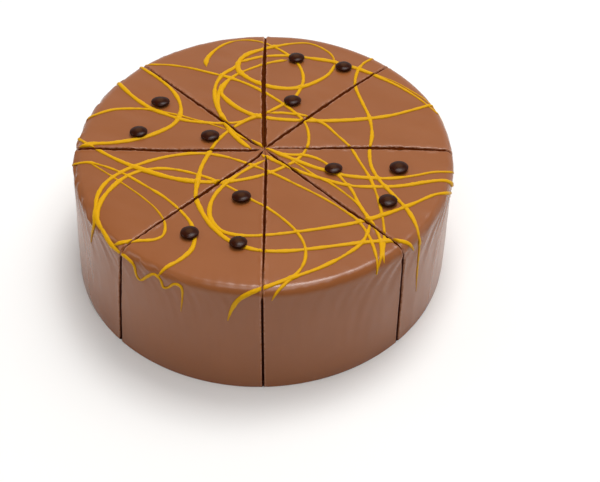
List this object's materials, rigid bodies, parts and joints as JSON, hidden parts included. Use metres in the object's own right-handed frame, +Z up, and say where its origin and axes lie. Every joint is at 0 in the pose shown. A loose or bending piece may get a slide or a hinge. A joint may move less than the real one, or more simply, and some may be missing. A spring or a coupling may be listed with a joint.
{
  "type": "egg liqueur cake",
  "caption": "Round layered cake in a smooth chocolate coat with egg liqueur drizzle and dark chocolate pearls, cut into slices that stand together.",
  "frame": {"origin": "middle of the flat underside", "axes": "+Z up, through the top of the cake; -Y is the side that faces the viewer; +X to the viewer's right"},
  "size_m": [0.2221, 0.2202, 0.0838],
  "materials": {
    "chocolate_coat": "smooth satin milk chocolate glaze over chocolate cream",
    "brown_sponge": "open brown marbled crumb",
    "cream": "soft pale cream with chocolate pieces",
    "pale_sponge": "open pale crumb with chocolate pieces",
    "dark_base": "dense dark chocolate sponge",
    "chocolate_pearl": "satin dark chocolate shell",
    "liqueur_drizzle": "glossy yellow egg liqueur threads"
  },
  "bodies": {
    "root": {"slice_1_base": "dark_base", "slice_2_base": "dark_base", "slice_3_base": "dark_base", "slice_4_base": "dark_base", "slice_5_base": "dark_base", "slice_6_base": "dark_base", "slice_7_base": "dark_base", "slice_8_base": "dark_base", "slice_1_lower_sponge": "pale_sponge", "slice_2_lower_sponge": "pale_sponge", "slice_3_lower_sponge": "pale_sponge", "slice_4_lower_sponge": "pale_sponge", "slice_5_lower_sponge": "pale_sponge", "slice_6_lower_sponge": "pale_sponge", "slice_7_lower_sponge": "pale_sponge", "slice_8_lower_sponge": "pale_sponge", "slice_1_cream": "cream", "slice_2_cream": "cream", "slice_3_cream": "cream", "slice_4_cream": "cream", "slice_5_cream": "cream", "slice_6_cream": "cream", "slice_7_cream": "cream", "slice_8_cream": "cream", "slice_1_upper_sponge": "brown_sponge", "slice_2_upper_sponge": "brown_sponge", "slice_3_upper_sponge": "brown_sponge", "slice_4_upper_sponge": "brown_sponge", "slice_5_upper_sponge": "brown_sponge", "slice_6_upper_sponge": "brown_sponge", "slice_7_upper_sponge": "brown_sponge", "slice_8_upper_sponge": "brown_sponge", "slice_1_coat": "chocolate_coat", "slice_2_coat": "chocolate_coat", "slice_3_coat": "chocolate_coat", "slice_4_coat": "chocolate_coat", "slice_5_coat": "chocolate_coat", "slice_6_coat": "chocolate_coat", "slice_7_coat": "chocolate_coat", "slice_8_coat": "chocolate_coat", "pearl_1": "chocolate_pearl", "pearl_2": "chocolate_pearl", "pearl_3": "chocolate_pearl", "pearl_4": "chocolate_pearl", "pearl_5": "chocolate_pearl", "pearl_6": "chocolate_pearl", "pearl_7": "chocolate_pearl", "pearl_8": "chocolate_pearl", "pearl_9": "chocolate_pearl", "pearl_10": "chocolate_pearl", "pearl_11": "chocolate_pearl", "pearl_12": "chocolate_pearl"}
  },
  "joints": []
}
